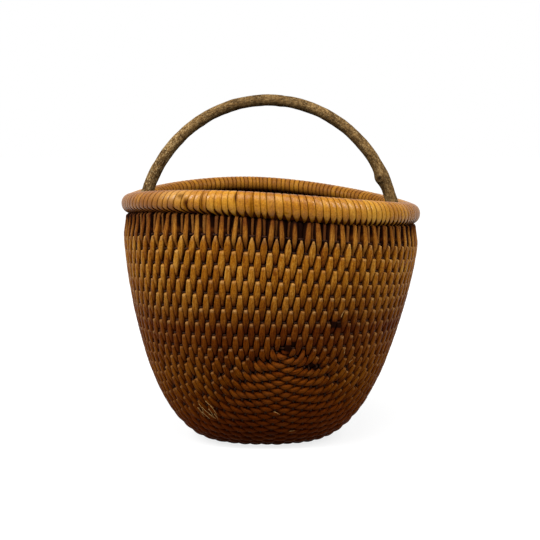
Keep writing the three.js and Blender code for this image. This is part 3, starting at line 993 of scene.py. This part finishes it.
def make_base_wefts(rods):
    """Wefts that fan out from the front rose, run under the bottom and meet again behind."""
    most = max(max(rod.base, default=-1) for rod in rods) + 1
    groups = [Strands() for _ in range(BASE_WEFT_GROUPS)]
    for weft in range(-most, most):
        crossed = [rod for rod in rods if weft in rod.base]
        if len(crossed) < 2:
            continue
        places = [rod.place_at(rod.base[weft][0]) for rod in crossed]
        points = np.array([rod_point(rod.alpha, place) for rod, place in zip(crossed, places)])
        outer = np.array([rod_point(rod.alpha, place, 1) for rod, place in zip(crossed, places)])
        position = np.arange(len(crossed))
        fine = np.arange(0, len(crossed) - 1 + 0.5 / WEFT_STEPS, 1 / WEFT_STEPS)
        line = points_at(fine, position, points)
        outward = unit(points_at(fine, position, outer - points))
        group = groups[(weft + most) * BASE_WEFT_GROUPS // (2 * most)]
        add_weft(group, line, outward, fine, crossed[0].base[weft][1], weft)
    for number, strands in enumerate(groups, 1):
        strands.piece("woven_base_weft_%d" % number, "wefts", WEFT, "base_weft_%d" % number)


# Rim

def outer_hoop_height(angle):
    return HOOP_HEIGHT - HOOP_TAPER * (1 - np.maximum(0, cosine(angle - DEEPEST_ANGLE)) ** HOOP_TAPER_POWER)


def rim_section(angle, turn, grow, inside, squareness=SECTION_SQUARENESS):
    """How far out from the stakes and up from the hoops' middle, on a rounded square grown by so much."""
    power = 2 / squareness
    half = np.where(inside, INNER_HOOP_HEIGHT, outer_hoop_height(angle)) / 2
    out = SECTION_MIDDLE + (SECTION_HALF + grow) * signed_power(cosine(turn), power)
    up = HOOP_HEIGHT / 2 - half + (half + grow) * signed_power(sine(turn), power)
    return out + 0 * half, up


def rim_point(angle, out, up):
    radius = (STAKE_RADIUS + out) * plan_reach(angle)
    height = HOOP_MIDDLE + up + rim_wave(angle)
    return together(radius * cosine(angle), DEPTH_SHARE * radius * sine(angle), height)


HOOP_STEPS = 240
HOOP_SIDES = 16
HOOP_TONE = 0.4
HOOP_STAIN = 0.3
HOOP_SHADE = 0.65
HOOP_SHADE_TURNS = (-30, 10)
FOOT_RADIUS = 8
FOOT_CLEARANCE = 0.3


def hoop_rings(angles, outer):
    turn = np.linspace(-90, 90, HOOP_SIDES) if outer else np.linspace(90, 270, HOOP_SIDES)
    out, up = rim_section(angles[:, None], turn[None], 0, not outer)
    out = np.maximum(out, OUTER_SEAT) if outer else np.minimum(out, INNER_SEAT)
    return rim_point(angles[:, None], out, up)


def make_hoops():
    """The split hoops, with painted shade on the outer one's lower side and on top of the inner ones."""
    dark = 1 - smoothstep(np.linspace(-90, 90, HOOP_SIDES), *HOOP_SHADE_TURNS)
    marks = together(HOOP_TONE, HOOP_STAIN + HOOP_SHADE * dark, 0, 0)[None]
    strands = Strands()
    angles = around(HOOP_STEPS)
    strands.sweep(hoop_rings(angles, True), np.radians(angles) * STAKE_RADIUS, marks, closed=True)
    strands.piece("split_hoop_outer", "rim_hoops", HOOP, "rim_hoop_outer")
    inside = DEPTH_SHARE * (STAKE_RADIUS + SECTION_MIDDLE - SECTION_HALF)
    foot = math.degrees(math.asin((FOOT_RADIUS + FOOT_CLEARANCE) / inside))
    for side, name in ((-1, "front"), (1, "back")):
        angles = side * np.linspace(foot, 180 - foot, HOOP_STEPS // 2)
        strands = Strands()
        strands.sweep(hoop_rings(angles, False), np.radians(angles) * STAKE_RADIUS, marks)
        strands.piece("split_hoop_inner_" + name, "rim_hoops", HOOP, "rim_hoop_inner_" + name)


# Lashing. Angles run round the basket from -180 at the left, over -90 in front, to 0 at the right and on
# behind. Turns run round the rim's section, from 0 outside, over 90 on top, to 180 inside
LOOP_STEPS = 44
LOOP_ENDS = (-97, 277)
OUTSIDE_END = -80
OUTSIDE_GROWTH = 58
OUTSIDE_POWER = 1.35
INSIDE_END = (215, 265)
INSIDE_DROP = (232, 277)
FOOT_END_TURNS = (-75, -22)
FOOT_LEAN = 0.1
LEFT_FOOT_LEAN = 1.2
LEFT_FOOT_ANGLES = (-98, -128)
INSIDE_LEAN = 0.5
STRIP_GAP = 0.5
STRIP_THICKNESS = 1.5
STRIP_CAMBER = 0.4
UNDER_CAMBER = 0.1
CAMBER_POWER = 2.6
STRIP_FILL = 0.975
STRIP_WAIST = 0.16
STRIP_SWAY = 0.04
STRIP_PROFILE = np.array([-1, -0.94, -0.78, -0.4, 0, 0.4, 0.78, 0.94, 1])
STRIP_LENGTH_RADIUS = 15
FOOT_ZONE = 4.6
FOOT_SQUEEZE = 0.4
FRONT_PITCH = 2.62
RIGHT_PITCH_LOSS = 0.36
RIGHT_PITCH_ANGLES = (-82, -50)
BACK_PITCH = 2.02
BACK_LIMIT = -0.35
PITCH_SPREAD = (0.8, 1.2)

# Smudges on the lashing: angle, turn, width and height in degrees, strength
SMUDGES = (
    (-120.5, -2, 0.9, 24, 1.0),
    (-123, 32, 1.2, 14, 0.8),
    (-118.5, -55, 2.2, 15, 1.0),
    (-114.5, 10, 0.45, 50, 0.9),
    (-102.7, 35, 0.6, 24, 0.8),
    (-97, 0, 0.5, 50, 0.7),
    (-84.4, -18, 1.0, 5, 0.6),
    (-88, -22, 0.5, 4, 0.6),
)

# Steps round the rim in front: how much the strips change between one angle and another. A slant is how
# far a strip's foot lies round to the right of its top, in degrees
SLANT_STEPS = ((-3.0, -100, -132), (1.9, -48, -28))
# The tone steps lighten the right front, a painted light, darken the left, a painted shade, and darken the
# right end. The sheen steps are a painted reflection at both ends
TONE_STEPS = ((0.3, -75, -50), (-0.9, -44, -22), (-0.75, -108, -145))
SHEEN_STEPS = ((0.12, -130, -160), (0.1, -40, -15))
STRIP_SLANT = 0.7
STRIP_TONES = (0.18, 0.8)
STRIP_SHINES = (0, 0.22)
BACK_TONE = 0.3
BACK_SHEEN = 0.2
TOP_SHADE = 0.6
TOP_SHADE_TURNS = (40, 125)
LEFT_HIGHLIGHT = 0.7
LEFT_HIGHLIGHT_ANGLE = -126
LEFT_HIGHLIGHT_WIDTH = 7
LEFT_HIGHLIGHT_BELL = (40, 40)
SHINE_BELL = (30, 35)
EDGE_POWER = 8
EDGE_DIRT = 0.8
SIDE_EDGE_DIRT = 0.2
SIDE_EDGE_ANGLES = (25, 50)
OUTSIDE_SHADE = 0.75
OUTSIDE_SHADE_TURNS = (-75, -20)
INSIDE_SHADE = 0.6
INSIDE_SHADE_TURNS = (200, 250)
UPPER_SHADE = 0.3
UPPER_SHADE_TURNS = (80, 140)


def front_steps(angle, steps):
    """The sum of the steps, each of an amount between two angles, at an angle in front."""
    return sum(amount * smoothstep(angle, start, end) for amount, start, end in steps) * (angle < 0)


def strip_pitch(angle):
    """Degrees from strip to strip: wide in front on the left, narrower on the right and behind."""
    front = FRONT_PITCH - RIGHT_PITCH_LOSS * smoothstep(angle, *RIGHT_PITCH_ANGLES)
    return np.where(sine(angle) < BACK_LIMIT, front, BACK_PITCH)


def strip_edges():
    """The angles between the strips, all the way round from the back of the left foot."""
    rng = random_stream(STREAMS["strip_edges"])
    edges = [-180.0]
    while edges[-1] < 180:
        edges.append(edges[-1] + float(strip_pitch(edges[-1])) * rng.uniform(*PITCH_SPREAD))
    edges = np.array(edges)
    return -180 + (edges + 180) * 360 / (edges[-1] + 180)


def strip_course(middle, half, turn, sway):
    """The angle of a strip's middle at each turn and its share of the full width, narrow at its ends."""
    outside_end = np.clip((turn - OUTSIDE_END) / OUTSIDE_GROWTH, 0, 1)
    inside_end = 1 - smoothstep(turn, *INSIDE_END)
    width = STRIP_WAIST + (STRIP_FILL - STRIP_WAIST) * outside_end**OUTSIDE_POWER * inside_end
    lean = FOOT_LEAN + LEFT_FOOT_LEAN * smoothstep(middle, *LEFT_FOOT_ANGLES)
    swing = lean * (1 - smoothstep(turn, *FOOT_END_TURNS)) - INSIDE_LEAN * (1 - inside_end)
    slant = STRIP_SLANT + front_steps(middle, SLANT_STEPS)
    drift = slant * (0.5 - smoothstep(turn, -90, 90))
    return middle + 2 * half * swing + drift + sway * half * sine(turn), width


def strip_dirt_and_shade(angle, turn, middle, across):
    """The dirt and painted shade of a strip: dark dirt along its edges, painted shade at its ends outside,
    inside the rim and over its top, and the smudges.
    """
    edge_dirt = EDGE_DIRT + SIDE_EDGE_DIRT * smoothstep(abs(middle + 90), *SIDE_EDGE_ANGLES)
    dirt_and_shade = edge_dirt * np.abs(across) ** EDGE_POWER
    # Painted shade low outside, inside the rim and over its top
    dirt_and_shade = dirt_and_shade + OUTSIDE_SHADE * (1 - smoothstep(turn, *OUTSIDE_SHADE_TURNS))
    dirt_and_shade = dirt_and_shade + INSIDE_SHADE * smoothstep(turn, *INSIDE_SHADE_TURNS)
    dirt_and_shade = dirt_and_shade + UPPER_SHADE * smoothstep(turn, *UPPER_SHADE_TURNS)
    for smudge_angle, smudge_turn, wide, tall, strength in SMUDGES:
        dirt_and_shade = dirt_and_shade + strength * bell(angle, smudge_angle, wide) * bell(turn, smudge_turn, tall)
    return np.clip(dirt_and_shade, 0, 1)


def strip_sheen(turn, middle, shine):
    """The painted sheen of a strip: a little painted reflection at the sides and painted highlight behind,
    on the shoulder, and a painted highlight on the left.
    """
    sides = front_steps(middle, SHEEN_STEPS) + BACK_SHEEN * (middle > 0)
    glow = LEFT_HIGHLIGHT * bell(middle, LEFT_HIGHLIGHT_ANGLE, LEFT_HIGHLIGHT_WIDTH) * bell(turn, *LEFT_HIGHLIGHT_BELL)
    return sides + shine * bell(turn, *SHINE_BELL) + glow


def add_strip(strands, low, high, tone, rng, seed):
    """One turn of the lashing, from under the outer hoop over the rim and down inside."""
    middle = (low + high) / 2
    half = (high - low) / 2
    turn = np.linspace(*LOOP_ENDS, LOOP_STEPS + 1)
    centre, width = strip_course(middle, half, turn, rng.uniform(-STRIP_SWAY, STRIP_SWAY))
    across = np.concatenate([STRIP_PROFILE, STRIP_PROFILE[::-1]])
    camber = 1 - np.abs(across) ** CAMBER_POWER
    upper = np.arange(len(across)) < len(STRIP_PROFILE)
    crown = STRIP_THICKNESS - STRIP_CAMBER + STRIP_CAMBER * camber
    grow = STRIP_GAP + np.where(upper, crown, UNDER_CAMBER * camber)
    angle = centre[:, None] + width[:, None] * half * across
    turn = turn[:, None]
    out, up = rim_section(angle, turn, grow, turn > 90, LASHING_SQUARENESS)
    fall = smoothstep(turn, *INSIDE_DROP)
    up = up + fall * (HOOP_HEIGHT / 2 - outer_hoop_height(angle) - grow - up)
    if min(abs(middle), abs(abs(middle) - 180)) < FOOT_ZONE:
        out = np.maximum(out, INNER_SEAT - FOOT_SQUEEZE * (1 + grow - STRIP_GAP))
    rings = rim_point(angle, out, up)
    # Painted light and shade round the front, and painted shade over the top and inside
    tone = tone + front_steps(middle, TONE_STEPS) + BACK_TONE * (middle > 0)
    shade = tone - TOP_SHADE * smoothstep(turn, *TOP_SHADE_TURNS)
    dirt_and_shade = strip_dirt_and_shade(angle, turn, middle, across)
    wear_and_sheen = strip_sheen(turn, middle, rng.uniform(*STRIP_SHINES))
    marks = together(shade, dirt_and_shade, wear_and_sheen, 0)
    strands.sweep(rings, np.radians(turn[:, 0]) * STRIP_LENGTH_RADIUS, marks, seed=seed)


def make_lashing():
    rng = random_stream(STREAMS["strips"])
    front, back = Strands(), Strands()
    edges = strip_edges()
    for number, (low, high) in enumerate(zip(edges, edges[1:])):
        side = front if low + high < 0 else back
        add_strip(side, low, high, rng.uniform(*STRIP_TONES), rng, number)
    front.piece("lashing_strips_front", "lashing", LASHING, "rim_lashing_front")
    back.piece("lashing_strips_back", "lashing", LASHING, "rim_lashing_back")


# Handle

ARCH_DRAW = 0.7
ARCH_RISE = 166.5
ARCH_CENTRE_HEIGHT = 250
ARCH_SHIFT = -3.3
ARCH_FOOT_HEIGHT = 300
LEG_SEAT_HEIGHT = 248
LEG_END_HEIGHT = 224
LEG_CLEARANCE = 0.2
STAKE_INSIDE = 2.2
WEFT_INSIDE = 6.6
ARCH_STEPS = 8
CROWN_RADIUS = 7
KNOT_HEIGHT = 323
HANDLE_STATIONS = 420
HANDLE_SIDES = 36
HANDLE_SPAN_STEPS = 60
BARK_WAVES = 48
BARK_PITCHES = (7, 46)
BARK_ROUNDS = 7
BARK_SIZE = 0.013
KNOT_SWELL = 2.4
KNOT_LENGTH = 8
KNOT_TURN = 290
COLLAR_SWELL = 0.5
COLLAR_LENGTH = 14
EYE_TURN = 328
EYE_LENGTH = 2.6
EYE_WIDTH = 15
EYE_DEPTH = 1.1
RING_RISE = 0.5
RING_RADIUS = 1.7
RING_SPREAD = 0.45
EYE_STAIN = 0.9
LOW_RELIEF_DARKENING = 1.2
MOST_LOW_RELIEF_DARKENING = 0.5
INNER_SIDE_SHADE = 0.35
CROWN_SHADE = 0.16
CROWN_SPREAD = 75
BARK_PALE_AND_LIT = 0.5
LEFT_LEG_WIDTHS = (80, 130)


def leg_seat():
    """How far out the handle's feet stand, against the stakes or the wefts."""
    rising = LINE_POINTS[1:-2]
    weft_face = np.interp(LEG_END_HEIGHT, rising[:, 1], rising[:, 0]) - WEFT_INSIDE
    return min(STAKE_RADIUS - STAKE_INSIDE, weft_face) - LEG_CLEARANCE - FOOT_RADIUS


def handle_corners():
    start = math.degrees(math.asin((ARCH_FOOT_HEIGHT - ARCH_CENTRE_HEIGHT) / ARCH_RISE))
    turn = np.linspace(180 - start, start, ARCH_STEPS + 1)
    seat = leg_seat()
    half_span = seat - ARCH_DRAW
    arch = together(ARCH_SHIFT + half_span * cosine(turn), ARCH_CENTRE_HEIGHT + ARCH_RISE * sine(turn))
    left = [(-seat, LEG_END_HEIGHT), (-seat, LEG_SEAT_HEIGHT)]
    right = [(seat, LEG_SEAT_HEIGHT), (seat, LEG_END_HEIGHT)]
    return np.vstack([left, arch, right])


def smooth_line(corners, per_span):
    """A centripetal Catmull-Rom line through the corners."""
    ends = np.vstack([2 * corners[0] - corners[1], corners, 2 * corners[-1] - corners[-2]])
    line = []
    for a, b, c, d in zip(ends, ends[1:], ends[2:], ends[3:]):
        knots = np.cumsum([0] + [np.linalg.norm(q - p) ** 0.5 for p, q in ((a, b), (b, c), (c, d))])
        t = np.linspace(knots[1], knots[2], per_span, endpoint=False)[:, None]

        def between(p, q, low, high):
            return ((high - t) * p + (t - low) * q) / (high - low)

        ab = between(a, b, knots[0], knots[1])
        bc = between(b, c, knots[1], knots[2])
        cd = between(c, d, knots[2], knots[3])
        abc = between(ab, bc, knots[0], knots[2])
        bcd = between(bc, cd, knots[1], knots[3])
        line.append(between(abc, bcd, knots[1], knots[2]))
    return np.vstack(line + [corners[-1:]])


def even_line(line, count):
    """Lengths and points at even steps along a line."""
    lengths = lengths_along(line)
    even = np.linspace(0, lengths[-1], count)
    return even, points_at(even, lengths, line)


def bark_relief(along, turn):
    """Low bumps and ridges along a branch, in millimetres."""
    rng = random_stream(STREAMS["bark"])
    relief = np.zeros(np.broadcast_shapes(along.shape, turn.shape))
    for wave in range(BARK_WAVES):
        pitch = rng.uniform(*BARK_PITCHES)
        rounds = rng.integers(0, BARK_ROUNDS)
        size = BARK_SIZE * (pitch / 10) ** 0.6
        phase = 2 * math.pi * along / pitch + math.radians(1) * rounds * turn
        relief += size * np.sin(phase + rng.uniform(0, 7))
    return relief


def knot_shape(from_knot, turn):
    """The knot's relief, its eye and the ring round the eye, by length from the knot and turn."""
    lump = np.maximum(0, cosine(turn - KNOT_TURN))
    swell = KNOT_SWELL * bell(from_knot, 0, KNOT_LENGTH) * lump
    collar = COLLAR_SWELL * bell(from_knot, 0, COLLAR_LENGTH)
    aside = ((turn - EYE_TURN + 180) % 360 - 180) / EYE_WIDTH
    from_eye = np.hypot(from_knot / EYE_LENGTH, aside)
    eye = bell(from_eye, 0, 1)
    ring = bell(from_eye, RING_RADIUS, RING_SPREAD)
    return swell + collar - EYE_DEPTH * eye + RING_RISE * ring, eye, ring


def make_handle():
    """The bent branch, with its knot on the right leg. Turn 90 faces away from the arch's middle."""
    along, flat = even_line(smooth_line(handle_corners(), HANDLE_SPAN_STEPS), HANDLE_STATIONS)
    line = together(flat[:, 0], 0, flat[:, 1])
    tangent = unit(np.gradient(line, axis=0))
    across = np.broadcast_to([0.0, 1.0, 0.0], line.shape)
    outward = np.cross(tangent, across)
    radius = FOOT_RADIUS + (CROWN_RADIUS - FOOT_RADIUS) * sine(180 * along / along[-1])
    turn = around(HANDLE_SIDES)[None]
    right = line[:, 0] > 0
    knot = along[right][np.argmin(np.abs(line[right, 2] - KNOT_HEIGHT))]
    knot_relief, eye, ring = knot_shape((along - knot)[:, None], turn)
    relief = bark_relief(along[:, None], turn)
    full = radius[:, None] + relief + knot_relief
    way = across[:, None] * -cosine(turn)[..., None] + outward[:, None] * sine(turn)[..., None]
    rings = line[:, None] + full[..., None] * way
    # Darker where the bark's relief is low, painted shade on the inner side and over the crown, and the dark
    # eye
    pits = np.clip(-LOW_RELIEF_DARKENING * relief, 0, MOST_LOW_RELIEF_DARKENING)
    inner_side = INNER_SIDE_SHADE * np.maximum(0, -sine(turn))
    crown = CROWN_SHADE * bell(line[:, 0], 0, CROWN_SPREAD)[:, None]
    dirt_and_shade = np.clip(EYE_STAIN * eye + pits + inner_side + crown, 0, 1)
    left_leg = smoothstep(-line[:, 0], *LEFT_LEG_WIDTHS)[:, None]
    # Paler bark: a painted light on the outer side, which is the top at the crown, and paler on the ring
    # round the eye and on the left leg
    light = np.clip(BARK_PALE_AND_LIT * (np.maximum(0, sine(turn)) + ring + left_leg), 0, 1)
    marks = together(0, dirt_and_shade, light, 0)
    strands = Strands()
    strands.sweep(rings, along, marks)
    strands.piece("bark_branch_handle", "handle_bark", BARK, "handle")


# Pegs: lengths from each end and shares of the radius there

PEG_SIDES = 9
PEG_ENDS = (0, 1.5, 5)
PEG_TAPER = (0.35, 0.6, 0.98)
PEG_FACETS = (0.9, 1.0)
PEG_MARKS = (0.4, 0.1, 0.2, 0.0)


def make_pegs():
    """Whittled pins with blunt points, where the frame has its pegs."""
    ends = np.array(PEG_ENDS)
    taper = np.array([*PEG_TAPER, 1.0, *PEG_TAPER[::-1]])
    turn = around(PEG_SIDES)
    for side, name in ((-1, "left"), (1, "right")):
        low, high = (np.array(corner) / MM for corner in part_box("handle_peg_" + name))
        middle = (low + high) / 2
        radius = (high[0] - low[0]) / 2
        facets = random_stream(STREAMS["pegs"] + side).uniform(*PEG_FACETS, PEG_SIDES)
        along = np.concatenate([low[1] + ends, [middle[1]], high[1] - ends[::-1]])
        shape = taper[:, None] * radius * facets
        rings = together(middle[0] + shape * cosine(turn), along[:, None], middle[2] + shape * sine(turn))
        strands = Strands()
        strands.sweep(rings, along, np.array(PEG_MARKS))
        strands.piece("whittled_peg_" + name, "pegs", HOOP, "handle_peg_" + name)


# Camera, floor and light, in metres

CAMERA_PLACE = (-0.001, -1.9, 0.4)
CAMERA_LENS = 102.7
SENSOR_WIDTH = 36
PICTURE_SIZE = 540
HORIZON_ROW = 113.6
FLOOR_HALF = 12
FLOOR_GREY = 0.3
FLOOR_REACH = (0.4, 1.2)
FLOOR_GLOW = (0.8, 1.0)
WORLD_LIGHT = 0.15
LAMP_DISTANCE = 2.3
LAMP_AIM = 0.25

# Lamps: name, azimuth from the front towards the right, elevation, width, height and power
LAMPS = (
    ("left", -56, 38, 0.5, 1.2, 50),
    ("right", 50, 38, 0.6, 1.3, 34),
    ("top", 0, 62, 1.6, 1.6, 44),
)


def make_camera():
    """The camera looks down just enough to put the horizon on its row of the picture."""
    camera = put("camera", bpy.data.cameras.new("camera"))
    camera.data.lens = CAMERA_LENS
    camera.data.sensor_width = SENSOR_WIDTH
    camera.location = CAMERA_PLACE
    focal = CAMERA_LENS / SENSOR_WIDTH * PICTURE_SIZE
    down = math.atan((PICTURE_SIZE / 2 - HORIZON_ROW) / focal)
    camera.rotation_euler = (math.pi / 2 - down, 0, 0)
    bpy.context.scene.camera = camera


def picture_rays(nodes):
    """1 for what the camera, a reflection or a view through glass sees, 0 for light on the object."""
    path = nodes.node("ShaderNodeLightPath").outputs
    seen = nodes.math("MAXIMUM", path["Is Camera Ray"], path["Is Glossy Ray"])
    return nodes.math("MAXIMUM", seen, path["Is Transmission Ray"])


def make_world():
    """Plain white to look at, and a weak even light on the object."""
    world = bpy.data.worlds.new("studio")
    bpy.context.scene.world = world
    world.use_nodes = True
    nodes = Nodes(world.node_tree)
    background = nodes.tree.nodes["Background"]
    nodes.feed(background.inputs["Color"], WHITE)
    strength = nodes.span(picture_rays(nodes), 0, 1, WORLD_LIGHT, 1, "LINEAR")
    nodes.feed(background.inputs["Strength"], strength)


def make_floor():
    """A plain floor that shows white, a little less near the object, where it takes its shadow."""
    mesh = bpy.data.meshes.new("floor")
    corners = [(x * FLOOR_HALF, y * FLOOR_HALF, 0) for x, y in ((-1, -1), (1, -1), (1, 1), (-1, 1))]
    mesh.from_pydata(corners, [], [(0, 1, 2, 3)])
    floor = put("floor", mesh)
    shader = Shader("floor")
    far = shader.node("ShaderNodeVectorMath", {0: shader.place()}, operation="LENGTH").outputs["Value"]
    glow = shader.span(far, *FLOOR_REACH, *FLOOR_GLOW, "LINEAR")
    mesh.materials.append(shader.finish(
        Base_Color=(FLOOR_GREY, FLOOR_GREY, FLOOR_GREY, 1),
        Roughness=1,
        Specular_IOR_Level=0,
        Emission_Color=WHITE,
        Emission_Strength=shader.math("MULTIPLY", picture_rays(shader), glow),
    ))


def make_lamp(name, azimuth, elevation, width, height, power):
    """A soft lamp aimed at the upper wall."""
    lamp = put(name, bpy.data.lights.new(name, "AREA"))
    lamp.data.shape = "RECTANGLE"
    lamp.data.size = width
    lamp.data.size_y = height
    lamp.data.energy = power
    flat = LAMP_DISTANCE * cosine(elevation)
    rise = LAMP_DISTANCE * sine(elevation)
    lamp.location = (flat * sine(azimuth), -flat * cosine(azimuth), LAMP_AIM + rise)
    lamp.rotation_euler = (math.radians(90 - elevation), 0, math.radians(azimuth))


bpy.context.scene.view_settings.view_transform = "Standard"
make_camera()
make_world()
make_floor()
for lamp in LAMPS:
    make_lamp(*lamp)

rods = [Rod(number) for number in range(ROD_COUNT)]
make_stakes(rods)
make_weft_rows()
make_base_wefts(rods)
make_hoops()
make_lashing()
make_handle()
make_pegs()
